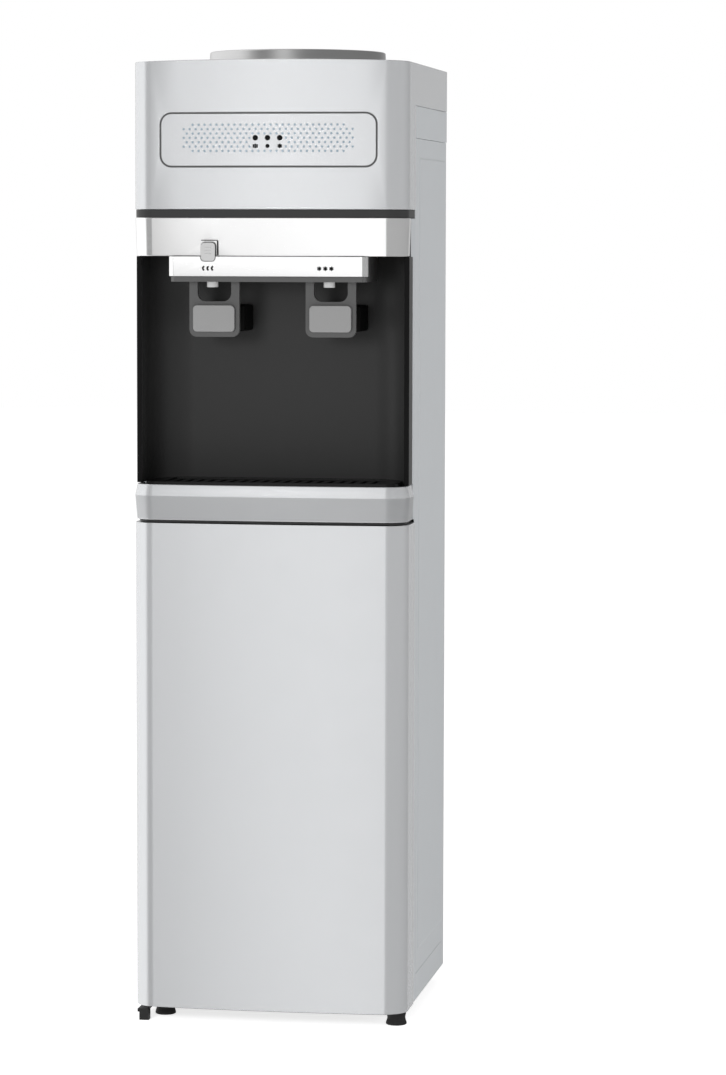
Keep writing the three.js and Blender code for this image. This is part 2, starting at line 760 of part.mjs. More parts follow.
// ---- compressor side ----
function compressor() {
  const shell = [
    [0, 22],
    [34, 22],
    [48, 34],
    [52, 60],
    [52, 92],
    [45, 122],
    [28, 134],
    [0, 138],
  ];
  const can = turned(shell, 20, 84, 20);
  const sole = box(-42, 82, 52, 116, 18, 26);
  piece("compressor", union(can, sole), BLACK_PAINT);
}

function condenser() {
  const runs = 9;
  const pitch = 60;
  const reach = 70;
  const points = [];
  for (let run = 0; run < runs; run++) {
    const z = 280 + run * pitch;
    const side = run % 2 ? 1 : -1;
    points.push([side * reach, 141.5, z]);
    points.push([-side * reach, 141.5, z]);
    points.push([-side * (reach + 18), 141.5, z + pitch / 2]);
  }
  points.pop();
  piece("condenser_tube", pipe(points, 3.2, 96, 6), BLACK_PAINT);
}

function rearSwitch(name, x, finish) {
  const shape = polygon([
    [-5, -10],
    [1.5, -10],
    [0.2, 0],
    [1.5, 10],
    [-5, 10],
  ]);
  const rocker = across(shape, -6.5, 6.5);
  const made = piece(name, rocker, finish);
  made.position.set(x, REAR_Y + 2, SWITCH_Z);
  made.rotation.x = -THREE.MathUtils.degToRad(8);
}

function powerInlet() {
  const block = box(-119, -91, 122, REAR_Y + 2.6, 219, 241);
  const recess = box(-116, -94, 126, 140, 222, 238);
  const pins = [-109, -105, -101].map((x) => box(x - 1, x + 1, 125, 131, 227, 233));
  piece("power_inlet", union(cut(block, recess), ...pins), CHARCOAL);
}

// ---- tap bar ----
const BAR_SPLIT = -141; // the white front ends and the dark housing begins

function barPlan(inset) {
  const chamfer = 5.2;
  const half = BAR_HALF - inset;
  const front = BAR_FRONT + inset;
  const flat = BAR_HALF - chamfer - inset * 0.5;
  return [
    [-half, front + chamfer - inset * 0.5],
    [-flat, front],
    [flat, front],
    [half, front + chamfer - inset * 0.5],
  ];
}

function tapBar() {
  const back = BAR_SPLIT - GAP;
  const outer = barPlan(0);
  const inner = barPlan(SKIN).reverse();
  const plan = [
    [-BAR_HALF, back],
    ...outer,
    [BAR_HALF, back],
    [BAR_HALF - SKIN, back],
    ...inner,
    [SKIN - BAR_HALF, back],
  ];
  const bar = raise(polygon(plan), BAR_Z, FASCIA_Z - 0.3);
  piece("tap_bar", cut(bar, lockHole()), WHITE);
}

function tapBarBase() {
  const plan = [[-BAR_HALF + 2, -72], ...barPlan(2), [BAR_HALF - 2, -72]];
  let base = raise(polygon(plan), LIP_Z, BAR_Z - 0.4);
  for (const side of [-1, 1]) {
    const wall = [side * (BAR_HALF - 2), side * (BAR_HALF - 4.5)].sort((a, b) => a - b);
    base = base.add(box(wall[0], wall[1], BAR_SPLIT, -72, LIP_Z, FASCIA_Z - 0.3));
  }
  for (const x of [-TAP_X, TAP_X]) {
    for (const side of [-1, 1]) {
      const ear = [x + side * 28.3, x + side * 31.3].sort((a, b) => a - b);
      base = base.add(box(ear[0], ear[1], -124.5, -114.5, BAR_Z - 1, PIVOT_Z + 6));
    }
    base = base.subtract(rod(2.9, x - 35, x + 35, PIVOT_Y, PIVOT_Z));
    const spout = [[0, 800], [7, 800], [7, 820], [0, 820]];
    base = base.subtract(turned(spout, x, SPOUT_Y, 16));
    const slot = LEVER_HALF + 0.7;
    base = base.subtract(box(x - slot, x + slot, -123.2, -108, LIP_Z - 2, BAR_Z));
  }
  piece("tap_bar_base", base, DARK_GREY);
}

function childLock() {
  const { x0, x1, z0, z1 } = LOCK;
  const face = through(roundedRect(x0, x1, z0, z1, 3.5), -151.9, -143.2, 4);
  const collar = through(roundedRect(x0 - 2, x1 + 2, z0 + 10, z1 + 2, 3.5), -145, -143, 3);
  piece("child_lock_button", union(face, collar), LIGHT_GREY);
}

// ---- taps ----
const PLUNGER = { z0: 826, head: 856, top: 860 };
const PAD = { half: 22.8, z0: 752.9, z1: 781.5 };
const HOOP = { half: 18.5, z: 785.5, radius: 9 };

function leverFrame() {
  const outline = new THREE.Shape();
  const top = PLUNGER.top + 3.5;
  const { half, z, radius } = HOOP;
  const low = LEVER_Z;
  outline.moveTo(-LEVER_HALF, top);
  outline.lineTo(-LEVER_HALF, low + 8);
  outline.absarc(8 - LEVER_HALF, low + 8, 8, Math.PI, 1.5 * Math.PI, false);
  outline.absarc(LEVER_HALF - 8, low + 8, 8, 1.5 * Math.PI, 2 * Math.PI, false);
  outline.lineTo(LEVER_HALF, top);
  outline.lineTo(half, top);
  outline.lineTo(half, z + radius);
  outline.absarc(half - radius, z + radius, radius, 0, -0.5 * Math.PI, true);
  outline.absarc(radius - half, z + radius, radius, 1.5 * Math.PI, Math.PI, true);
  outline.lineTo(-half, top);
  outline.closePath();
  const frame = through(outline, LEVER_Y, LEVER_Y + 5, 4);
  const yokeZ = PLUNGER.top + 0.5;
  const yoke = box(-LEVER_HALF, LEVER_HALF, -136.5, LEVER_Y + 5, yokeZ, top);
  const pivots = rod(2.5, -31, -20, PIVOT_Y, PIVOT_Z).add(rod(2.5, 20, 31, PIVOT_Y, PIVOT_Z));
  const bosses = rod(4.6, -27.4, -18.6, PIVOT_Y, PIVOT_Z).add(
    rod(4.6, 18.6, 27.4, PIVOT_Y, PIVOT_Z),
  );
  return union(frame, yoke, pivots, bosses);
}

function tap(prefix, x) {
  const lever = leverFrame().translate([x, 0, 0]);
  piece(`${prefix}_lever`, lever, DARK_GREY);
  const face = roundedRect(x - PAD.half, x + PAD.half, PAD.z0, PAD.z1, 4.5);
  piece(`${prefix}_lever_pad`, through(face, LEVER_Y - 4.5, LEVER_Y - 0.3, 4), MID_GREY);
  const body = [[0, 813], [9.2, 813], [9.2, 842], [2.8, 842], [2.8, 821.5], [0, 821.5]];
  piece(`${prefix}_valve_body`, turned(body, x, SPOUT_Y, 16), HOSE);
  const nozzle = [[0, 811], [4.3, 811], [4.3, 801], [6.2, 801], [6.2, 812.7], [0, 812.7]];
  piece(`${prefix}_nozzle`, turned(nozzle, x, SPOUT_Y, 16), LIGHT_GREY);
  const { z0, head, top } = PLUNGER;
  const stem = [[0, z0], [2.3, z0], [2.3, head], [5, head], [5, top], [0, top]];
  piece(`${prefix}_plunger`, turned(stem, x, SPOUT_Y, 12), STEEL);
}

// ---- assembly ----
function build() {
  basePan();
  foot("foot_front_left", -124.3, -97.9);
  foot("foot_front_right", 135.6, -111.6);
  foot("foot_rear_left", -121.8, 128);
  foot("foot_rear_right", 121.8, 128);
  lowerHingeBracket();
  sidePanel("side_panel_left", -1);
  sidePanel("side_panel_right", 1);
  rearPanel();
  frontRail("front_rail_left", -1);
  frontRail("front_rail_right", 1);
  tankDeck();
  cabinetLiner();
  doorShell();
  doorInnerPanel();
  doorCatch();
  trayShelf();
  trayFront();
  dripBasin();
  dripGrille();
  alcoveLiner();
  fasciaBand();
  trimStrip();
  topCover();
  upperFrame();
  displayPanel();
  lamps();
  bottleSeat();
  coldTank();
  hotTank();
  plumbing();
  compressor();
  condenser();
  rearSwitch("heating_switch", -60, RED);
  rearSwitch("cooling_switch", -30, GREEN);
  powerInlet();
  tapBar();
  tapBarBase();
  childLock();
  tap("hot", -TAP_X);
  tap("cold", TAP_X);
}

build();

export default group;
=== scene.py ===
"""Looks of a floor-standing hot and cold water dispenser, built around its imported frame."""

import json
import math

import bmesh
import bpy
from mathutils import Matrix, Vector


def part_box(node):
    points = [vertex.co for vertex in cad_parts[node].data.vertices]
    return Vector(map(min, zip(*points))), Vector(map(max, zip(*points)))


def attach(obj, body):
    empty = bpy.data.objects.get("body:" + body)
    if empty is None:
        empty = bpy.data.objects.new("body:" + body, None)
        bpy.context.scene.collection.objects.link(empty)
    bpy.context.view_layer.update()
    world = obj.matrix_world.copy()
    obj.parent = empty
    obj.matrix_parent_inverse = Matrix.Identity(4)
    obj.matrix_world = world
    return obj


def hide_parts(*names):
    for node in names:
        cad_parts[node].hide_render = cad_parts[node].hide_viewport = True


bl_info = {
    "name": "Floor water dispenser",
    "version": (1, 0, 0),
    "blender": (4, 5, 0),
    "location": "View3D > Sidebar > Dispenser",
    "description": "Finishes a floor-standing water dispenser around its frame",
    "category": "Add Mesh",
}

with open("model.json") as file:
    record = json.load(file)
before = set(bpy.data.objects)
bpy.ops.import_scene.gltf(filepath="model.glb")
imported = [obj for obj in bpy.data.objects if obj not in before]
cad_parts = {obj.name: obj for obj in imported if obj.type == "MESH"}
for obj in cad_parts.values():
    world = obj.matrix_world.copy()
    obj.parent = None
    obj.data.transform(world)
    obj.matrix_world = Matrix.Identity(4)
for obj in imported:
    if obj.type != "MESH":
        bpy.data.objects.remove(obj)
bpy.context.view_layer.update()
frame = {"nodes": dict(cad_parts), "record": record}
MM = 0.001
BODY_OF = {node: body for body, nodes in frame["record"]["behaviour"]["bodies"].items() for node in nodes}
SLOT_OF = {part["node"]: part["material_slot"] for part in frame["record"]["subparts"]}


# ---------------------------------------------------------------- shader building


class Value:
    """A shader socket that arithmetic can be done on."""

    def __init__(self, finish, socket):
        self.finish = finish
        self.socket = socket

    def maths(self, operation, *others):
        sockets = dict(enumerate((self, *others)))
        return self.finish.node("ShaderNodeMath", {"operation": operation}, sockets)

    def reflected(self, operation, other):
        sockets = {0: other, 1: self}
        return self.finish.node("ShaderNodeMath", {"operation": operation}, sockets)

    def __add__(self, other):
        return self.maths("ADD", other)

    def __radd__(self, other):
        return self.reflected("ADD", other)

    def __sub__(self, other):
        return self.maths("SUBTRACT", other)

    def __rsub__(self, other):
        return self.reflected("SUBTRACT", other)

    def __mul__(self, other):
        return self.maths("MULTIPLY", other)

    def __rmul__(self, other):
        return self.reflected("MULTIPLY", other)

    def __truediv__(self, other):
        return self.maths("DIVIDE", other)


class Finish:
    """A node tree under construction, for a material or the world."""

    def __init__(self, tree):
        self.tree = tree
        tree.nodes.clear()

    def node(self, kind, settings=None, sockets=None, output=0):
        """Adds a node, sets it up, fills its sockets and returns one of its outputs."""
        made = self.tree.nodes.new(kind)
        for name, setting in (settings or {}).items():
            if name == "stops":
                self.set_stops(made.color_ramp, setting)
            else:
                setattr(made, name, setting)
        for name, filling in (sockets or {}).items():
            socket = made.inputs[name]
            if isinstance(filling, Value):
                self.tree.links.new(filling.socket, socket)
            else:
                socket.default_value = filling
        return Value(self, made.outputs[output]) if made.outputs else None

    def set_stops(self, ramp, stops):
        while len(ramp.elements) < len(stops):
            ramp.elements.new(1.0)
        for element, (position, grey) in zip(ramp.elements, stops):
            element.position = position
            element.color = (grey, grey, grey, 1.0)

    def coordinates(self, scale=(1, 1, 1)):
        place = self.node("ShaderNodeTexCoord", output="Object")
        return self.node("ShaderNodeMapping", None, {"Vector": place, "Scale": scale})

    def noise(self, where, scale, detail=2.0, roughness=0.5):
        sockets = {"Vector": where, "Scale": scale, "Detail": detail, "Roughness": roughness}
        return self.node("ShaderNodeTexNoise", None, sockets)

    def blend(self, factor, first, second):
        """Mixes two colours; 0, 6 and 7 are the Mix node's factor and colour inputs."""
        settings = {"data_type": "RGBA"}
        return self.node("ShaderNodeMix", settings, {0: factor, 6: first, 7: second}, output=2)

    def split(self, vector):
        """The x, y and z of a vector."""
        return [self.node("ShaderNodeSeparateXYZ", None, {0: vector}, output=i) for i in range(3)]

    def bump(self, height, strength, distance):
        sockets = {"Height": height, "Strength": strength, "Distance": distance}
        return self.node("ShaderNodeBump", None, sockets)

    def principled(self, sockets):
        shader = self.node("ShaderNodeBsdfPrincipled", None, sockets)
        self.node("ShaderNodeOutputMaterial", None, {"Surface": shader})


def grey(level, tint=(1.0, 1.0, 1.0)):
    """A grey of one brightness, leaning towards a tint."""
    return (level * tint[0], level * tint[1], level * tint[2], 1.0)


def shade(colour, factor):
    """The same colour, lighter or darker."""
    return tuple(min(1.0, channel * factor) for channel in colour[:3]) + (1.0,)


def new_finish(name):
    material = bpy.data.materials.new(name)
    material.use_nodes = True
    return material, Finish(material.node_tree)


def moulded_plastic(
    name, colour, roughness, metallic=0.0, grain=900.0, depth=0.06, coat=0.0, spread=0.03, shine=0.5
):
    """Moulded or painted skin: soft mottling, fine orange-peel grain and uneven gloss."""
    material, f = new_finish(name)
    place = f.coordinates()
    cloud = f.noise(place, 9.0, 3.0)
    grains = f.noise(place, grain, 2.0)
    smear = f.noise(place, 38.0, 4.0, 0.6)
    tone = f.blend(cloud, shade(colour, 1.0 - spread), shade(colour, 1.0 + spread))
    f.principled({
        "Base Color": tone,
        "Metallic": metallic,
        "Roughness": roughness - 0.03 + smear * 0.06 + grains * 0.02,
        "Coat Weight": coat,
        "Coat Roughness": 0.08,
        "Specular IOR Level": shine,
        "Normal": f.bump(grains, depth, 0.0002),
    })
    return material


def turned_metal(name, colour, roughness, centre):
    """Metal turned on a lathe: fine rings about a vertical line through centre."""
    material, f = new_finish(name)
    place = f.node("ShaderNodeTexCoord", output="Object")
    offset = (-centre[0], -centre[1], 0.0)
    centred = f.node("ShaderNodeMapping", None, {"Vector": place, "Location": offset})
    x, y, z = f.split(centred)
    radius = (x * x + y * y).maths("SQRT")
    rings = f.node("ShaderNodeCombineXYZ", None, {"X": radius * 900.0, "Y": z * 900.0, "Z": 0.0})
    lines = f.noise(rings, 3.0, 3.0, 0.7)
    cloud = f.noise(place, 14.0, 3.0)
    tone = f.blend(cloud * 0.5 + lines * 0.5, shade(colour, 0.86), shade(colour, 1.1))
    f.principled({
        "Base Color": tone,
        "Metallic": 1.0,
        "Roughness": roughness - 0.08 + lines * 0.16,
        "Normal": f.bump(lines, 0.12, 0.0002),
    })
    return material


def brushed_metal(name, colour, roughness, grain=(1.0, 1.0, 0.02)):
    """Sheet or drawn metal with fine lines along one direction and faint stains."""
    material, f = new_finish(name)
    lines = f.noise(f.coordinates(grain), 2200.0, 2.0, 0.6)
    stains = f.noise(f.coordinates(), 16.0, 4.0, 0.6)
    tone = f.blend(lines * 0.6 + stains * 0.4, shade(colour, 0.8), shade(colour, 1.15))
    f.principled({
        "Base Color": tone,
        "Metallic": 1.0,
        "Roughness": roughness - 0.08 + stains * 0.16,
        "Normal": f.bump(lines, 0.1, 0.0002),
    })
    return material


def spangled_zinc(name, colour):
    """Galvanised sheet: crystal patches of slightly different tone and gloss."""
    material, f = new_finish(name)
    place = f.coordinates()
    sockets = {"Vector": place, "Scale": 110.0}
    flakes = f.node("ShaderNodeTexVoronoi", {"feature": "F1"}, sockets, output="Color")
    tone_value = f.node("ShaderNodeRGBToBW", None, {"Color": flakes})
    dirt = f.noise(place, 20.0, 4.0)
    tone = f.blend(tone_value, shade(colour, 0.78), shade(colour, 1.2))
    f.principled({
        "Base Color": tone,
        "Metallic": 0.9,
        "Roughness": 0.34 + tone_value * 0.16 + dirt * 0.08,
        "Normal": f.bump(tone_value, 0.05, 0.0003),
    })
    return material


def beaded_foam(name, colour):
    """Expanded foam: packed beads with darker joints."""
    material, f = new_finish(name)
    place = f.coordinates()
    settings = {"feature": "DISTANCE_TO_EDGE"}
    joints = f.node("ShaderNodeTexVoronoi", settings, {"Vector": place, "Scale": 260.0})
    beads = (joints * 9.0).maths("MINIMUM", 1.0)
    tone = f.blend(beads, shade(colour, 0.8), colour)
    f.principled({
        "Base Color": tone,
        "Roughness": 0.92 - beads * 0.1,
        "Normal": f.bump(beads, 0.5, 0.0008),
    })
    return material


def milky_hose(name, colour):
    """Silicone hose and valve bodies: soft, slightly clear, with a dusty bloom."""
    material, f = new_finish(name)
    place = f.coordinates()
    bloom = f.noise(place, 60.0, 4.0)
    tone = f.blend(bloom, shade(colour, 0.9), shade(colour, 1.06))
    f.principled({
        "Base Color": tone,
        "Roughness": 0.38 + bloom * 0.2,
        "Subsurface Weight": 0.15,
        "Subsurface Radius": (0.004, 0.004, 0.004),
        "Normal": f.bump(bloom, 0.05, 0.0004),
    })
    return material


def solder_board(name, colour):
    """Circuit board: green mask over a grid of copper tracks."""
    material, f = new_finish(name)
    place = f.coordinates((420.0, 420.0, 420.0))
    settings = {"offset": 0.5}
    sockets = {"Vector": place, "Scale": 1.0, "Mortar Size": 0.08}
    tracks = f.node("ShaderNodeTexBrick", settings, sockets, output="Fac")
    tone = f.blend(tracks, colour, shade(colour, 1.9))
    f.principled({
        "Base Color": tone,
        "Roughness": 0.3 + tracks * 0.2,
        "Normal": f.bump(tracks, 0.2, 0.0002),
    })
    return material


COLLAR_CENTRE = sum(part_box("bottle_collar"), Vector()) / 2


def make_finishes():
    blue_grey = (0.985, 1.0, 1.02)
    steel_tint = (0.965, 1.0, 1.03)
    red, green = (0.52, 0.03, 0.02, 1.0), (0.02, 0.30, 0.09, 1.0)
    copper, foam = (0.72, 0.32, 0.17, 1.0), (0.83, 0.82, 0.78, 1.0)
    print_blue, board = (0.22, 0.28, 0.33, 1.0), (0.02, 0.11, 0.05, 1.0)
    # Name, colour, roughness, metallic, grain, depth, coat, spread, shine.
    skins = {
        "front_silver": ("silver skin", grey(0.70, blue_grey), 0.22, 0.60, 1400.0, 0.02, 0.0, 0.012),
        # Darker copy of the silver skin: painted shade, for the tray front's faces that turn slightly down.
        "painted_shade_silver": ("shaded silver skin", grey(0.49, blue_grey), 0.34, 0.60, 1400.0, 0.01, 0.0, 0.006),
        "side_silver": ("silver coated steel", grey(0.625, steel_tint), 0.40, 0.35, 1700.0, 0.04, 0.0, 0.015),
        "white_gloss": ("white gloss", grey(0.98), 0.09, 0.85, 1200.0, 0.006, 0.0, 0.005),
        "charcoal_plastic": ("charcoal satin", grey(0.031), 0.40, 0.0, 1500.0, 0.10, 0.0, 0.03, 0.32),
        "dark_grey_plastic": ("dark grey satin", grey(0.078), 0.34, 0.0, 1300.0, 0.06),
        "mid_grey_plastic": ("mid grey satin", grey(0.25), 0.42, 0.0, 1300.0, 0.10),
        "light_grey_plastic": ("light grey satin", grey(0.47), 0.36, 0.0, 1300.0, 0.05),
        "liner_grey": ("pale liner", grey(0.55), 0.45, 0.0, 700.0, 0.15),
        "rubber_black": ("black rubber", grey(0.018), 0.62, 0.0, 1100.0, 0.3, 0.0, 0.03, 0.3),
        "black_paint": ("black enamel", grey(0.016), 0.36, 0.0, 500.0, 0.12, 0.0, 0.03, 0.35),
        "black_gloss": ("black gloss", grey(0.006), 0.22, 0.0, 900.0, 0.02, 0.0, 0.03, 0.25),
        # Near-black finish of painted shade: for the bay's cheek fronts, the gap round the child lock and the
        # blocks behind the tap pads.
        "deep_shade": ("dark liner edge", grey(0.006), 0.6, 0.0, 1200.0, 0.02, 0.0, 0.03, 0.1),
        "dot_blue": ("grey blue print", print_blue, 0.5, 0.0, 1200.0, 0.02, 0.0, 0.03, 0.2),
        "lamp_black": ("dark lens", grey(0.006), 0.30, 0.0, 200.0, 0.01, 0.0, 0.03, 0.1),
        "switch_red": ("red rocker", red, 0.25, 0.0, 900.0, 0.03, 0.3),
        "switch_green": ("green rocker", green, 0.25, 0.0, 900.0, 0.03, 0.3),
    }
    return {
        **{slot: moulded_plastic(*settings) for slot, settings in skins.items()},
        "collar_metal": turned_metal("turned collar", grey(0.66), 0.34, COLLAR_CENTRE),
        "tank_steel": brushed_metal("stainless sheet", grey(0.60), 0.28, (1.0, 1.0, 0.03)),
        "copper_tube": brushed_metal("copper tube", copper, 0.25, (0.05, 0.05, 1.0)),
        "zinc_sheet": spangled_zinc("galvanised sheet", grey(0.48, (0.98, 1.0, 1.01))),
        "foam_white": beaded_foam("beaded foam", foam),
        "hose_clear": milky_hose("milky silicone", grey(0.72, (0.99, 1.0, 1.0))),
        "board_green": solder_board("circuit board", board),
    }


# Filled by main(): the material of each slot, by the slot's name.
finishes = {}


# ---------------------------------------------------------------- mesh helpers


def finished(bm, name, body, slot, smooth=True, finish=None):
    """Turns a bmesh into a piece that rides on a body and takes a slot's finish or a given one."""
    mesh = bpy.data.meshes.new(name)
    bm.to_mesh(mesh)
    bm.free()
    for polygon in mesh.polygons:
        polygon.use_smooth = smooth
    piece = bpy.data.objects.new(name, mesh)
    bpy.context.scene.collection.objects.link(piece)
    mesh.materials.append(finishes[finish or slot])
    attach(piece, body)
    return piece


def weigh_normals(piece):
    """Keeps flat faces flat where they meet small rounded edges."""
    modifier = piece.modifiers.new("even normals", "WEIGHTED_NORMAL")
    modifier.mode = "FACE_AREA_WITH_ANGLE"
    modifier.weight = 60
    modifier.keep_sharp = True


def round_edges(bm, width, sharpness, segments):
    """Bevels every edge that turns more sharply than the given angle."""
    edges = [e for e in bm.edges if len(e.link_faces) == 2 and e.calc_face_angle(0.0) > sharpness]
    bmesh.ops.bevel(
        bm,
        geom=edges,
        offset=width,
        offset_type="OFFSET",
        affect="EDGES",
        segments=segments,
        profile=0.5,
        material=-1,
        clamp_overlap=True,
        harden_normals=False,
    )


def clean_copy(node):
    """A merged copy of a frame node's mesh, with its flat faces whole."""
    bm = bmesh.new()
    bm.from_mesh(frame["nodes"][node].data)
    bmesh.ops.remove_doubles(bm, verts=bm.verts, dist=2e-6)
    bmesh.ops.dissolve_degenerate(bm, edges=bm.edges, dist=1e-6)
    bmesh.ops.dissolve_limit(
        bm,
        angle_limit=math.radians(0.4),
        verts=bm.verts,
        edges=bm.edges,
        use_dissolve_boundaries=False,
    )
    bmesh.ops.recalc_face_normals(bm, faces=bm.faces)
    return bm


def refine(node, width, segments=2, sharpness=32.0):
    """Stands for a frame node with the same shape, its sharp edges rounded."""
    bm = clean_copy(node)
    round_edges(bm, width, math.radians(sharpness), segments)
    bmesh.ops.triangulate(bm, faces=[f for f in bm.faces if len(f.verts) > 4])
    piece = finished(bm, node + "_finished", BODY_OF[node], SLOT_OF[node])
    weigh_normals(piece)
    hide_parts(node)
    return piece


def shade_faces(piece, finish, wanted):
    """Gives the faces that wanted() picks a second finish."""
    piece.data.materials.append(finishes[finish])
    for polygon in piece.data.polygons:
        if wanted(polygon):
            polygon.material_index = 1


def dress(node):
    """Gives a frame node that keeps its own shape its finish."""
    part = frame["nodes"][node]
    part.data.materials.clear()
    part.data.materials.append(finishes[SLOT_OF[node]])


def add_box(bm, low, high, width=0.0, segments=2):
    """Adds a box between two corners, with rounded edges."""
    low, high = Vector(low), Vector(high)
    size = high - low
    matrix = Matrix.Translation((low + high) / 2) @ Matrix.Diagonal((*size, 1.0))
    made = bmesh.ops.create_cube(bm, size=1.0, matrix=matrix)
    if width:
        edges = list({e for v in made["verts"] for e in v.link_edges})
        bmesh.ops.bevel(
            bm, geom=edges, offset=width, affect="EDGES", segments=segments, profile=0.5, material=-1
        )


def add_cylinder(bm, start, end, radius, sides=16, tip=None):
    """Adds a rod between two points; tip is the radius at its end."""
    start, end = Vector(start), Vector(end)
    along = end - start
    turn = along.to_track_quat("Z", "Y").to_matrix().to_4x4()
    matrix = Matrix.Translation((start + end) / 2) @ turn
    bmesh.ops.create_cone(
        bm,
        cap_ends=True,
        segments=sides,
        radius1=radius,
        radius2=radius if tip is None else tip,
        depth=along.length,
        matrix=matrix,
    )


def spin_profile(bm, profile, centre, steps):
    """Turns a profile of radii and heights about a vertical line into a closed skin."""
    verts = [bm.verts.new((centre.x + radius, centre.y, z)) for radius, z in profile]
    edges = [bm.edges.new(pair) for pair in zip(verts, verts[1:])]
    bmesh.ops.spin(
        bm,
        geom=verts + edges,
        cent=(centre.x, centre.y, 0),
        axis=(0, 0, 1),
        angle=2 * math.pi,
        steps=steps,
        use_merge=True,
    )
    bmesh.ops.remove_doubles(bm, verts=bm.verts, dist=1e-6)
    bmesh.ops.recalc_face_normals(bm, faces=bm.faces)


def add_screw(bm, centre, direction, radius=0.0036):
    """Adds a pan-head screw with a cross recess in it."""
    centre, direction = Vector(centre), Vector(direction).normalized()
    add_cylinder(bm, centre, centre + direction * 0.0006, radius * 1.1, 20, radius * 1.05)
    low = centre + direction * 0.0006
    add_cylinder(bm, low, low + direction * 0.0014, radius, 20, radius * 0.62)
    side = direction.orthogonal().normalized()
    other = direction.cross(side)
    top = low + direction * 0.0014
    for arm in (side, other):
        half = arm * radius * 0.5
        add_cylinder(bm, top - half, top + half, 0.0005, 6)


# Where the back wall of the cup bay stands.
LINER_FLANGE = 2.7 * MM
BAY_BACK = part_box("alcove_liner")[1].y - LINER_FLANGE
# Dots in each printed row of the display, from the top.
DOT_ROWS = (26, 29, 28, 29, 28, 29, 26)


# ---------------------------------------------------------------- sizes a user may change


class DispenserSizes(bpy.types.PropertyGroup):
    """Small dimensions of the finished surfaces."""

    edge_round: bpy.props.FloatProperty(
        name="Edge rounding", description="Radius of a moulded edge", default=0.8 * MM, unit="LENGTH"
    )
    sheet_round: bpy.props.FloatProperty(
        name="Sheet edge", description="Radius of a folded steel edge", default=0.5 * MM, unit="LENGTH"
    )
    dot_pitch: bpy.props.FloatProperty(
        name="Dot pitch",
        description="Distance between printed dots in a row",
        default=6.55 * MM,
        unit="LENGTH",
    )
    dot_rise: bpy.props.FloatProperty(
        name="Row pitch", description="Distance between rows of dots", default=4.65 * MM, unit="LENGTH"
    )
    dot_radius: bpy.props.FloatProperty(
        name="Dot radius", description="Radius of a printed dot", default=1.3 * MM, unit="LENGTH"
    )
    wire_count: bpy.props.IntProperty(
        name="Condenser wires", description="Wires welded across the condenser tube", default=22
    )


class DispenserStage(bpy.types.PropertyGroup):
    """Where the camera stands, where it looks and its lens."""

    azimuth: bpy.props.FloatProperty(
        name="Azimuth",
        description="Camera's turn to the right",
        default=math.radians(9.37),
        subtype="ANGLE",
    )
    elevation: bpy.props.FloatProperty(
        name="Elevation", description="Camera's height angle", default=math.radians(4.55), subtype="ANGLE"
    )
    roll: bpy.props.FloatProperty(
        name="Roll",
        description="Camera's turn about its own axis",
        default=math.radians(0.12),
        subtype="ANGLE",
    )
    distance: bpy.props.FloatProperty(
        name="Distance", description="From the aim point to the camera", default=4.114, unit="LENGTH"
    )
    lens: bpy.props.FloatProperty(name="Lens", description="Focal length in millimetres", default=128.56)
    aim_right: bpy.props.FloatProperty(
        name="Aim",
        description="How far right of the middle the camera looks",
        default=103.5 * MM,
        unit="LENGTH",
    )
    aim_height: bpy.props.FloatProperty(
        name="Aim height", description="Height at which the camera looks", default=534.2 * MM, unit="LENGTH"
    )


# ---------------------------------------------------------------- pieces


class BuildOperator(bpy.types.Operator):
    """Common to the operators that build pieces."""

    bl_options = {"REGISTER", "UNDO"}

    def execute(self, context):
        self.build(context.scene.dispenser_sizes)
        return {"FINISHED"}


class DISPENSER_OT_bodywork(BuildOperator):
    """Side panels, rails, frame, base, cover, rear panel and deck"""

    bl_idname = "dispenser.bodywork"
    bl_label = "Bodywork"

    def build(self, sizes):
        for node in ("side_panel_left", "side_panel_right", "base_pan"):
            refine(node, sizes.sheet_round, sharpness=20.0)
        for node in ("upper_frame", "front_rail_left", "front_rail_right"):
            refine(node, sizes.edge_round * 0.6, sharpness=15.0)
        refine("top_cover", sizes.edge_round, 3)
        dress("rear_panel")
        dress("tank_deck")
        self.creases()
        self.screws()

    def creases(self):
        """A pressed bead low on each side panel."""
        for side in ("left", "right"):
            low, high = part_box("side_panel_" + side)
            x = high.x - 0.9 * MM if side == "right" else low.x + 0.9 * MM
            z = low.z + 29.5 * MM
            bm = bmesh.new()
            add_cylinder(bm, (x, low.y + 20 * MM, z), (x, high.y - 20 * MM, z), 0.55 * MM, 10)
            finished(bm, "side_bead_" + side, "cabinet", "side_silver")

    def screws(self):
        """A row of screws down each edge of the rear panel."""
        low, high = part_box("rear_panel")
        bm = bmesh.new()
        inset, rows = 9 * MM, 6
        for row in range(rows):
            z = low.z + inset + (high.z - low.z - 2 * inset) * row / (rows - 1)
            for x in (low.x + inset, high.x - inset):
                add_screw(bm, (x, high.y, z), (0, 1, 0))
        finished(bm, "rear_panel_screws", "cabinet", "tank_steel")


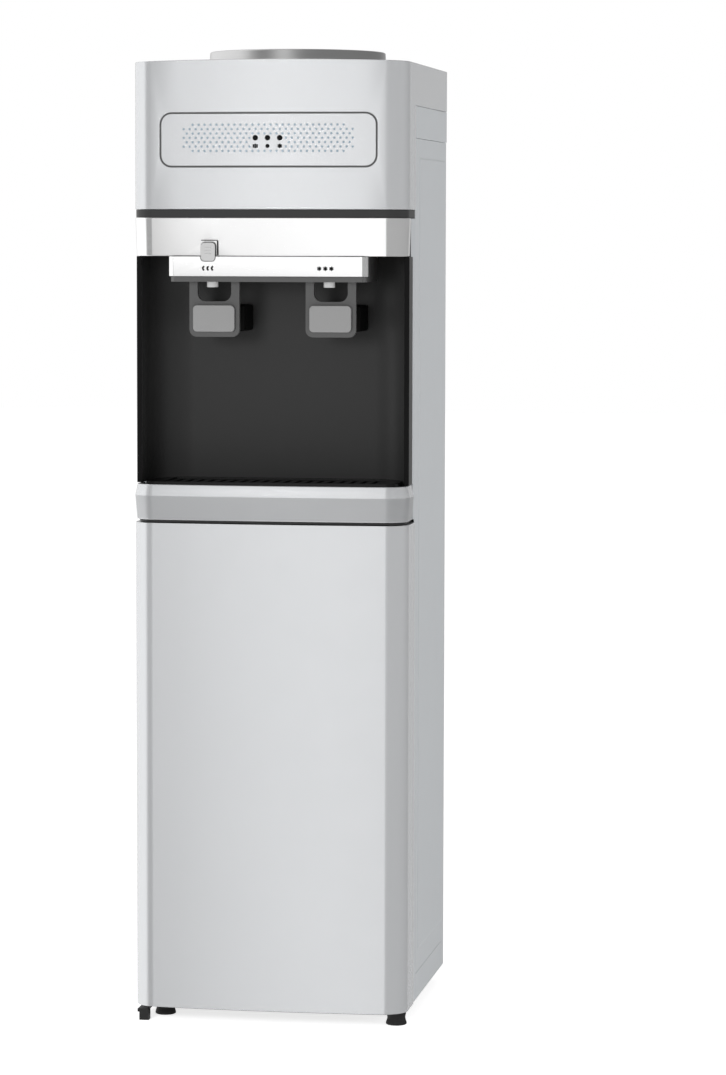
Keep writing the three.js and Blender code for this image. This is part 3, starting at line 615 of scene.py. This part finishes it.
class DISPENSER_OT_display(BuildOperator):
    """Display window with its printed dots, marks and lamps"""

    bl_idname = "dispenser.display"
    bl_label = "Display"

    def build(self, sizes):
        refine("display_panel", sizes.edge_round * 0.6)
        dress("display_board")
        for node in ("lamp_heating", "lamp_power", "lamp_cooling"):
            refine(node, 0.25 * MM, sharpness=25.0)
        self.groove()
        self.dots(sizes)
        self.marks()

    def face_y(self, x):
        """How far forward the bowed window stands at x."""
        bow, half = 4 * MM, 125.4 * MM
        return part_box("display_panel")[0].y + bow * (x / half) ** 2

    def add_dot(self, bm, x, z, radius, sides=10):
        y = self.face_y(x)
        add_cylinder(bm, (x, y + 0.1 * MM, z), (x, y - 0.12 * MM, z), radius, sides, radius * 0.9)

    def groove(self):
        """A dark ring sunk in the gap between the window and the head."""
        low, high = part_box("display_panel")
        middle = (low + high) / 2
        rim, corner, gap, ring = 6.0 * MM, 11.0 * MM, 1.7 * MM, 1.6 * MM
        reach = Vector(((high.x - low.x) / 2 - rim + gap, 0, (high.z - low.z) / 2 - rim + gap))
        turn = Matrix.Rotation(math.pi / 2, 4, "X") @ Matrix.Diagonal((reach.x, reach.z, 1, 1))
        bm = bmesh.new()
        matrix = Matrix.Translation(middle) @ turn
        bmesh.ops.create_grid(bm, x_segments=1, y_segments=1, size=1.0, matrix=matrix)
        bmesh.ops.bevel(
            bm,
            geom=bm.verts[:],
            offset=corner + gap,
            affect="VERTICES",
            segments=12,
            profile=0.5,
            material=-1,
        )
        bmesh.ops.inset_region(
            bm, faces=bm.faces[:], thickness=ring, use_boundary=True, use_even_offset=True
        )
        inner = min(bm.faces, key=lambda face: (face.calc_center_median() - middle).length)
        bmesh.ops.delete(bm, geom=[inner], context="FACES")
        for step in range(-9, 10):
            cut = (reach.x * step / 10, 0, 0)
            everything = bm.verts[:] + bm.edges[:] + bm.faces[:]
            bmesh.ops.bisect_plane(bm, geom=everything, plane_co=cut, plane_no=(1, 0, 0))
        for vert in bm.verts:
            vert.co.y = self.face_y(vert.co.x) + 1.0 * MM
        made = bmesh.ops.extrude_face_region(bm, geom=bm.faces[:])["geom"]
        back = [part for part in made if isinstance(part, bmesh.types.BMVert)]
        bmesh.ops.translate(bm, vec=(0, 1.2 * MM, 0), verts=back)
        bmesh.ops.recalc_face_normals(bm, faces=bm.faces)
        finished(bm, "display_groove", "cabinet", "dark_grey_plastic", False)

    def dots(self, sizes):
        """Seven staggered rows of printed dots, left out round the lamps."""
        lamp_low, lamp_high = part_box("lamp_power")
        middle = (lamp_low.z + lamp_high.z) / 2
        left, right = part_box("lamp_heating")[0].x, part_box("lamp_cooling")[1].x
        bm = bmesh.new()
        for row, count in enumerate(DOT_ROWS):
            z = middle + ((len(DOT_ROWS) - 1) / 2 - row) * sizes.dot_rise
            for column in range(count):
                x = (column - (count - 1) / 2) * sizes.dot_pitch
                near = left - 2.5 * MM < x < right + 2.5 * MM and -10.5 * MM < z - middle < 4 * MM
                if not near:
                    self.add_dot(bm, x, z, sizes.dot_radius)
        finished(bm, "display_dots", "cabinet", "mid_grey_plastic", False, "dot_blue")

    def marks(self):
        """A plain mark under each lamp: three bars, a disc and a star."""
        bm = bmesh.new()
        for name, kind in (("lamp_heating", "bars"), ("lamp_power", "disc"), ("lamp_cooling", "star")):
            low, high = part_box(name)
            x, z = (low.x + high.x) / 2, low.z - 6.0 * MM
            y = self.face_y(x)
            if kind == "bars":
                for shift in (-1.9, 0.0, 1.9):
                    tall = 4.8 if shift == 0.0 else 3.6
                    start = (x + shift * MM, y - 0.05 * MM, z - tall * 0.5 * MM)
                    end = (x + shift * MM, y - 0.05 * MM, z + tall * 0.5 * MM)
                    add_cylinder(bm, start, end, 0.85 * MM, 8)
            elif kind == "disc":
                self.add_dot(bm, x, z, 2.3 * MM, 20)
            else:
                for turn in range(3):
                    angle = math.pi * (turn / 3 + 0.5)
                    reach = Vector((math.cos(angle), 0, math.sin(angle))) * 2.5 * MM
                    centre = Vector((x, y - 0.05 * MM, z))
                    add_cylinder(bm, centre - reach, centre + reach, 0.8 * MM, 8)
        finished(bm, "display_marks", "cabinet", "lamp_black")


class DISPENSER_OT_fascia(BuildOperator):
    """Dark strip, white fascia, tap bar and child lock"""

    bl_idname = "dispenser.fascia"
    bl_label = "Fascia"

    def build(self, sizes):
        refine("trim_strip", sizes.edge_round * 0.6)
        refine("fascia_band", sizes.edge_round)
        refine("tap_bar", sizes.edge_round * 0.7, sharpness=20.0)
        refine("tap_bar_base", sizes.edge_round * 0.7, sharpness=20.0)
        refine("child_lock_button", sizes.edge_round, 3)
        self.lock_grips()
        self.tap_marks()

    def lock_grips(self):
        """Three finger ribs across the button, and a black strip on its top and right: painted shadow of the
        gap round it.
        """
        low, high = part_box("child_lock_button")
        left, right = low.x + 6 * MM, high.x - 6 * MM
        bm = bmesh.new()
        for step in range(3):
            z = low.z + (7.5 + step * 3.4) * MM
            add_cylinder(bm, (left, low.y + 0.3 * MM, z), (right, low.y + 0.3 * MM, z), 0.5 * MM, 10)
        finished(bm, "child_lock_ribs", "child_lock", "light_grey_plastic")
        # Black strip along the top and right of the button, just proud of the fascia: painted shadow of the
        # gap.
        bm = bmesh.new()
        front, back = low.y + 0.5 * MM, high.y - 1.0 * MM
        gap, thick = 0.15 * MM, 0.8 * MM
        top = high.z + gap
        add_box(bm, (low.x + 2 * MM, front, top), (high.x + gap, back, top + thick), 0.2 * MM)
        add_box(bm, (high.x + gap, front, low.z + 6 * MM), (high.x + gap + thick, back, top), 0.2 * MM)
        finished(bm, "child_lock_gap_shadow", "cabinet", "lamp_black", finish="deep_shade")

    def tap_marks(self):
        """Plain marks on the bar: rising strokes over the hot tap, a row of stars over the cold."""
        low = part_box("tap_bar")[0]
        z = low.z + 8.6 * MM
        y = low.y + 0.05 * MM
        bm = bmesh.new()
        hot, cold = (sum(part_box(name + "_nozzle"), Vector()).x / 2 for name in ("hot", "cold"))
        for step in range(3):
            x = hot - 1.2 * MM + (step - 1) * 4.8 * MM
            for part in range(2):
                lean = 0.8 * MM if part else -0.8 * MM
                start = (x - lean, y, z - 2.3 * MM + part * 2.3 * MM)
                end = (x + lean, y, z + part * 2.3 * MM)
                add_cylinder(bm, start, end, 1.0 * MM, 8)
        for step in range(3):
            centre = Vector((cold - 0.8 * MM + (step - 1) * 6.6 * MM, y, z))
            for turn in range(3):
                angle = math.pi * (turn / 3 + 0.5)
                reach = Vector((math.cos(angle), 0, math.sin(angle))) * 2.4 * MM
                add_cylinder(bm, centre - reach, centre + reach, 0.75 * MM, 8)
        finished(bm, "tap_marks", "cabinet", "lamp_black")


class DISPENSER_OT_taps(BuildOperator):
    """Levers, pads, nozzles and the valves behind them"""

    bl_idname = "dispenser.taps"
    bl_label = "Taps"

    def build(self, sizes):
        for tap in ("hot", "cold"):
            refine(tap + "_lever", sizes.edge_round, 3)
            refine(tap + "_lever_pad", sizes.edge_round * 0.9, 3)
            refine(tap + "_nozzle", 0.5 * MM, sharpness=25.0)
            dress(tap + "_valve_body")
            dress(tap + "_plunger")
            self.spring(tap)
            self.pad_shadow_block(tap)

    def pad_shadow_block(self, tap):
        """Black block between each pad and the back wall of the bay, reaching a little right of the pad:
        painted shadow of the pad, put where there is only shade.
        """
        low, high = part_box(tap + "_lever_pad")
        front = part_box(tap + "_lever")[1].y + 17 * MM
        bm = bmesh.new()
        add_box(bm, (low.x + 3 * MM, front, low.z), (high.x + 6 * MM, BAY_BACK, high.z), 3 * MM, 4)
        finished(bm, tap + "_pad_shadow_block", "cabinet", "lamp_black", finish="deep_shade")

    def spring(self, tap):
        """Return spring wound round the plunger, above the valve body."""
        low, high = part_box(tap + "_plunger")
        centre = (low + high) / 2
        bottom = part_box(tap + "_valve_body")[1].z + 0.6 * MM
        top = high.z - 8.0 * MM
        curve = bpy.data.curves.new(tap + "_valve_spring", "CURVE")
        curve.dimensions = "3D"
        curve.bevel_depth = 0.35 * MM
        curve.bevel_resolution = 2
        spline = curve.splines.new("POLY")
        turns, steps = 5, 14
        spline.points.add(turns * steps)
        for i, point in enumerate(spline.points):
            angle = 2 * math.pi * i / steps
            x = centre.x + 3.4 * MM * math.cos(angle)
            y = centre.y + 3.4 * MM * math.sin(angle)
            point.co = (x, y, bottom + (top - bottom) * i / (turns * steps), 1.0)
        curve.use_fill_caps = True
        spring = bpy.data.objects.new(tap + "_valve_spring", curve)
        bpy.context.scene.collection.objects.link(spring)
        curve.materials.append(finishes["tank_steel"])
        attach(spring, "cabinet")


class DISPENSER_OT_bay(BuildOperator):
    """Cup bay liner, drip tray and grille"""

    bl_idname = "dispenser.bay"
    bl_label = "Cup bay"

    def build(self, sizes):
        liner = refine("alcove_liner", sizes.edge_round)
        # The front faces of the bay's cheeks take painted shade, near-black.
        shade_faces(liner, "deep_shade", lambda face: face.normal.y < -0.9 and face.center.y < -100 * MM)
        refine("tray_shelf", sizes.edge_round * 0.6)
        front = refine("tray_front", sizes.edge_round * 1.2, 3, sharpness=40.0)
        # The tray front's faces that turn slightly down take the darker silver: painted shade.
        shade_faces(front, "painted_shade_silver", lambda face: -0.2 < face.normal.z < -0.04)
        refine("drip_basin", sizes.edge_round)
        refine("drip_grille", 0.5 * MM)


class DISPENSER_OT_door(BuildOperator):
    """Cupboard door with its inner panel, seal and catch, and the liner behind it"""

    bl_idname = "dispenser.door"
    bl_label = "Door"

    def build(self, sizes):
        refine("door_shell", sizes.edge_round)
        refine("door_inner_panel", sizes.edge_round * 2.0, 3)
        refine("cabinet_liner", sizes.edge_round * 1.6, 3)
        refine("door_catch", sizes.edge_round * 0.8)
        self.seal()

    def seal(self):
        """A soft strip all round the inner panel."""
        low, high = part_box("door_inner_panel")
        inset, width, depth = 9 * MM, 5 * MM, 0.55 * MM
        left, right = low.x + inset, high.x - inset
        bottom, top = low.z + inset, high.z - inset
        bm = bmesh.new()
        for x0, z0, x1, z1 in (
            (left, bottom, right, bottom + width),
            (left, top - width, right, top),
            (left, bottom + width, left + width, top - width),
            (right - width, bottom + width, right, top - width),
        ):
            add_box(bm, (x0, high.y - depth, z0), (x1, high.y + depth, z1), 0.4 * MM)
        finished(bm, "door_seal", "door", "rubber_black")


class DISPENSER_OT_seat(BuildOperator):
    """Bottle collar, funnel and feed spike"""

    bl_idname = "dispenser.seat"
    bl_label = "Bottle seat"

    def build(self, sizes):
        self.collar()
        self.funnel()
        refine("feed_spike", 0.4 * MM, sharpness=25.0)

    def collar(self):
        low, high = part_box("bottle_collar")
        centre = (low + high) / 2
        outer = (high.x - low.x) / 2
        body, inner = outer - 4.4 * MM, outer - 21 * MM
        base, top = low.z, high.z
        profile = [
            (inner, base),
            (outer - 0.6 * MM, base),
            (outer, base + 0.5 * MM),
            (outer - 0.5 * MM, base + 1.2 * MM),
            (body + 1.0 * MM, base + 1.7 * MM),
            (body + 0.2 * MM, base + 2.6 * MM),
            (body - 0.2 * MM, top - 1.4 * MM),
            (body - 0.7 * MM, top - 0.5 * MM),
            (body - 1.8 * MM, top),
            (inner + 3.4 * MM, top),
            (inner + 2.2 * MM, top - 0.4 * MM),
            (inner + 0.6 * MM, top - 2.2 * MM),
            (inner, top - 3.4 * MM),
            (inner, base),
        ]
        bm = bmesh.new()
        spin_profile(bm, profile, centre, steps=96)
        piece = finished(bm, "bottle_collar_finished", "cabinet", "collar_metal")
        weigh_normals(piece)
        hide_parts("bottle_collar")

    def funnel(self):
        low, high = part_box("bottle_funnel")
        centre = (low + high) / 2
        outer = (high.x - low.x) / 2
        profile = [
            (outer, high.z),
            (outer - 2.0 * MM, high.z),
            (outer - 4.5 * MM, high.z - 1.2 * MM),
            (34.6 * MM, low.z + 32 * MM),
            (33.2 * MM, low.z + 28 * MM),
            (31.2 * MM, low.z + 4.5 * MM),
            (29.5 * MM, low.z + 2.5 * MM),
            (10.6 * MM, low.z + 2.5 * MM),
            (10.6 * MM, low.z),
            (33.0 * MM, low.z),
            (33.8 * MM, low.z + 1.0 * MM),
            (36.5 * MM, low.z + 26.5 * MM),
            (outer, high.z - 3.0 * MM),
            (outer, high.z),
        ]
        bm = bmesh.new()
        spin_profile(bm, profile, centre, steps=64)
        piece = finished(bm, "bottle_funnel_finished", "cabinet", "charcoal_plastic")
        weigh_normals(piece)
        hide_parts("bottle_funnel")


class DISPENSER_OT_insides(BuildOperator):
    """Tanks, coil, pipes and what else is hidden in the body"""

    bl_idname = "dispenser.insides"
    bl_label = "Insides"

    def build(self, sizes):
        for node in ("cold_tank", "cold_tank_jacket", "hot_tank", "evaporator_coil"):
            dress(node)
        for node in ("hot_pipe", "cold_pipe", "transfer_pipe", "drain_pipe"):
            dress(node)


class DISPENSER_OT_rear(BuildOperator):
    """Compressor, condenser, switches, drain plug and inlet"""

    bl_idname = "dispenser.rear"
    bl_label = "Rear"

    def build(self, sizes):
        refine("power_inlet", 0.5 * MM)
        refine("drain_plug", 0.8 * MM, sharpness=25.0)
        refine("heating_switch", 0.7 * MM)
        refine("cooling_switch", 0.7 * MM)
        self.compressor()
        self.condenser(sizes)
        self.switch_bezels()

    def compressor(self):
        refine("compressor", 2.5 * MM, 3, sharpness=18.0)
        low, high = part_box("compressor")
        middle = (low + high) / 2
        bm = bmesh.new()
        seam = low.z + 62 * MM
        profile = [
            (52.2 * MM, seam - 2.5 * MM),
            (54.0 * MM, seam - 1.5 * MM),
            (54.0 * MM, seam + 1.5 * MM),
            (52.2 * MM, seam + 2.5 * MM),
        ]
        spin_profile(bm, profile + profile[:1], middle, steps=64)
        finished(bm, "compressor_weld_flange", "cabinet", "black_paint")
        bm = bmesh.new()
        left = middle.x - 66 * MM
        near = (left, middle.y - 20 * MM, seam + 4 * MM)
        far = (left + 19 * MM, middle.y + 20 * MM, seam + 40 * MM)
        add_box(bm, near, far, 2 * MM, 3)
        finished(bm, "compressor_terminal_cover", "cabinet", "charcoal_plastic")

    def condenser(self, sizes):
        dress("condenser_tube")
        low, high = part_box("condenser_tube")
        bm = bmesh.new()
        count = sizes.wire_count
        for i in range(count):
            x = low.x + 6 * MM + (high.x - low.x - 12 * MM) * i / (count - 1)
            for y in (low.y - 0.4 * MM, high.y + 0.4 * MM):
                add_cylinder(bm, (x, y, low.z - 4 * MM), (x, y, high.z + 4 * MM), 0.7 * MM, 6)
        finished(bm, "condenser_wires", "cabinet", "black_paint")
        bm = bmesh.new()
        rear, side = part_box("rear_panel")[1].y, 9 * MM
        for z in (low.z + 30 * MM, high.z - 30 * MM):
            for x in (low.x - 5 * MM, high.x + 5 * MM):
                add_box(bm, (x - side, rear, z - side), (x + side, rear + 1.2 * MM, z + side), 0.4 * MM)
                stem = (x - 2 * MM, rear + 1 * MM, z - 3 * MM), (x + 2 * MM, high.y, z + 3 * MM)
                add_box(bm, *stem, 0.4 * MM)
        finished(bm, "condenser_brackets", "cabinet", "black_paint")

    def switch_bezels(self):
        """A thin frame on the rear panel round each rocker."""
        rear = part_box("rear_panel")[1].y
        bm = bmesh.new()
        for node in ("heating_switch", "cooling_switch"):
            low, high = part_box(node)
            middle = (low + high) / 2
            half_x, half_z, rim = 7.4 * MM, 12.4 * MM, 2.2 * MM
            bottom, top = middle.z - half_z - rim, middle.z + half_z + rim
            left, right = middle.x - half_x, middle.x + half_x
            y0, y1 = rear + 0.05 * MM, rear + 1.6 * MM
            for sign in (-1, 1):
                x = middle.x + sign * (half_x + rim / 2)
                add_box(bm, (x - rim / 2, y0, bottom), (x + rim / 2, y1, top), 0.4 * MM)
                z = middle.z + sign * (half_z + rim / 2)
                add_box(bm, (left, y0, z - rim / 2), (right, y1, z + rim / 2), 0.4 * MM)
        finished(bm, "switch_bezels", "cabinet", "charcoal_plastic")


class DISPENSER_OT_feet(BuildOperator):
    """Feet and the lower hinge bracket"""

    bl_idname = "dispenser.feet"
    bl_label = "Feet"

    def build(self, sizes):
        refine("lower_hinge_bracket", sizes.edge_round)
        for node in [n for n in frame["nodes"] if n.startswith("foot_")]:
            self.foot(node)

    def foot(self, node):
        low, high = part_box(node)
        centre = (low + high) / 2
        outer = (high.x - low.x) / 2
        tall = high.z - low.z
        profile = [
            (0.0, low.z),
            (outer - 1.0 * MM, low.z),
            (outer - 0.2 * MM, low.z + 0.5 * MM),
            (outer, low.z + 1.2 * MM),
            (outer - 0.1 * MM, low.z + 2.4 * MM),
            (outer - 1.1 * MM, low.z + 0.42 * tall),
            (outer - 1.6 * MM, low.z + 0.58 * tall),
            (outer - 1.2 * MM, low.z + 0.8 * tall),
            (outer - 0.6 * MM, high.z - 0.4 * MM),
            (outer - 1.0 * MM, high.z),
            (0.0, high.z),
        ]
        bm = bmesh.new()
        spin_profile(bm, profile, centre, steps=48)
        piece = finished(bm, node + "_finished", "cabinet", "rubber_black")
        weigh_normals(piece)
        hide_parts(node)


# ---------------------------------------------------------------- stage


class DISPENSER_OT_stage(bpy.types.Operator):
    """Camera, pale floor and soft studio light"""

    bl_idname = "dispenser.stage"
    bl_label = "Stage"

    def execute(self, context):
        stage = context.scene.dispenser_stage
        self.camera(context.scene, stage)
        self.floor()
        self.world(context.scene)
        self.lamps()
        context.scene.view_settings.view_transform = "Standard"
        context.scene.view_settings.look = "None"
        return {"FINISHED"}

    def camera(self, scene, stage):
        data = bpy.data.cameras.new("front camera")
        data.lens = stage.lens
        data.sensor_width = 36.0
        camera = bpy.data.objects.new("front camera", data)
        scene.collection.objects.link(camera)
        flat, rise = math.cos(stage.elevation), math.sin(stage.elevation)
        back = Vector((math.sin(stage.azimuth) * flat, -math.cos(stage.azimuth) * flat, rise))
        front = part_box("display_panel")[0].y + 4 * MM
        aim = Vector((stage.aim_right, front, stage.aim_height))
        turn = (-back).to_track_quat("-Z", "Y").to_matrix().to_4x4()
        roll = Matrix.Rotation(stage.roll, 4, "Z")
        camera.matrix_world = Matrix.Translation(aim + back * stage.distance) @ turn @ roll
        scene.camera = camera

    def floor(self):
        material, f = new_finish("pale floor")
        specks = f.noise(f.coordinates(), 3.0, 2.0)
        tone = f.blend(specks, grey(0.93), grey(0.95))
        f.principled({
            "Base Color": tone,
            "Roughness": 0.9 + specks * 0.05,
            "Emission Color": grey(1.0),
            "Emission Strength": 0.75,
        })
        bm = bmesh.new()
        bmesh.ops.create_grid(bm, x_segments=4, y_segments=4, size=14.0)
        mesh = bpy.data.meshes.new("floor")
        bm.to_mesh(mesh)
        bm.free()
        floor = bpy.data.objects.new("floor", mesh)
        mesh.materials.append(material)
        bpy.context.scene.collection.objects.link(floor)
        floor.visible_glossy = False

    def world(self, scene):
        """Studio all round: bright ahead, a dark flag to the right, a strip light to the left."""
        world = bpy.data.worlds.new("studio")
        scene.world = world
        world.use_nodes = True
        f = Finish(world.node_tree)
        place = f.node("ShaderNodeTexCoord", output="Generated")
        x, y, z = f.split(place)
        turn = x.maths("ARCTAN2", y * -1.0)
        share = turn / (2 * math.pi) + 0.5
        around, low = (
            f.node("ShaderNodeValToRGB", {"stops": stops_by_angle(table)}, {"Fac": share})
            for table in (STUDIO, LOW_SHADE)
        )
        depth = (z * -2.3).maths("MAXIMUM", 0.0).maths("MINIMUM", 0.35)
        ramp = around * (1.0 - low * depth)
        seen = f.node("ShaderNodeLightPath", output="Is Camera Ray")
        mirrored = f.node("ShaderNodeLightPath", output="Is Glossy Ray")
        level = f.blend(mirrored, grey(AMBIENT), ramp)
        sky = f.node("ShaderNodeBackground", None, {"Color": f.blend(seen, level, grey(1.0))})
        f.node("ShaderNodeOutputWorld", None, {"Surface": sky})

    def lamps(self):
        for name, place, aim, size, power in LAMPS:
            data = bpy.data.lights.new(name, "AREA")
            data.shape = "RECTANGLE"
            data.size, data.size_y = size
            data.energy = power
            lamp = bpy.data.objects.new(name, data)
            lamp.location = place
            lamp.visible_glossy = False
            direction = Vector(aim) - Vector(place)
            lamp.rotation_euler = direction.to_track_quat("-Z", "Y").to_euler()
            bpy.context.scene.collection.objects.link(lamp)


def stops_by_angle(table):
    """Colour ramp stops for a table whose first column is in degrees."""
    return [(degrees / 360 + 0.5, level) for degrees, level in table]


# Brightness of the studio round the object, by degrees from straight ahead, right being plus.
STUDIO = [
    (-180, 0.50),
    (-152, 0.50),
    (-146, 1.10),
    (-60, 1.10),
    (-50, 0.25),
    (-23, 0.25),
    (-18, 0.97),
    (-8, 1.04),
    (-1, 1.06),
    (3, 0.40),
    (8, 0.27),
    (150, 0.25),
    (165, 0.45),
    (180, 0.50),
]
# How much of that is lost below the camera's height, by the same angle.
LOW_SHADE = [(-180, 0.0), (-50, 0.0), (-48, 1.0), (-17, 1.0), (-2, 0.0), (180, 0.0)]
AMBIENT = 0.30
# Lamps: name, place, aim, size, power.
LAMPS = [
    ("key light", (-0.45, -2.6, 1.0), (0, -0.1, 0.75), (0.5, 0.5), 31.0),
    ("side softbox", (2.6, 0.1, 0.9), (0.15, 0, 0.6), (1.4, 2.0), 24.0),
]


class DISPENSER_PT_panel(bpy.types.Panel):
    """Lists the steps of the build"""

    bl_idname = "DISPENSER_PT_panel"
    bl_label = "Water dispenser"
    bl_space_type = "VIEW_3D"
    bl_region_type = "UI"
    bl_category = "Dispenser"

    def draw(self, context):
        layout = self.layout
        for name in DispenserSizes.__annotations__:
            layout.prop(context.scene.dispenser_sizes, name)
        for name in DispenserStage.__annotations__:
            layout.prop(context.scene.dispenser_stage, name)
        for operator in OPERATORS:
            layout.operator(operator.bl_idname)


OPERATORS = [
    DISPENSER_OT_stage,
    DISPENSER_OT_bodywork,
    DISPENSER_OT_display,
    DISPENSER_OT_fascia,
    DISPENSER_OT_taps,
    DISPENSER_OT_bay,
    DISPENSER_OT_door,
    DISPENSER_OT_seat,
    DISPENSER_OT_insides,
    DISPENSER_OT_rear,
    DISPENSER_OT_feet,
]
CLASSES = [DispenserSizes, DispenserStage, *OPERATORS, DISPENSER_PT_panel]


def register():
    for cls in CLASSES:
        bpy.utils.register_class(cls)
    bpy.types.Scene.dispenser_sizes = bpy.props.PointerProperty(type=DispenserSizes)
    bpy.types.Scene.dispenser_stage = bpy.props.PointerProperty(type=DispenserStage)


def unregister():
    del bpy.types.Scene.dispenser_stage
    del bpy.types.Scene.dispenser_sizes
    for cls in reversed(CLASSES):
        bpy.utils.unregister_class(cls)


def main():
    register()
    finishes.update(make_finishes())
    for operator in OPERATORS:
        group, name = operator.bl_idname.split(".")
        getattr(getattr(bpy.ops, group), name)()


if __name__ == "__main__":
    main()
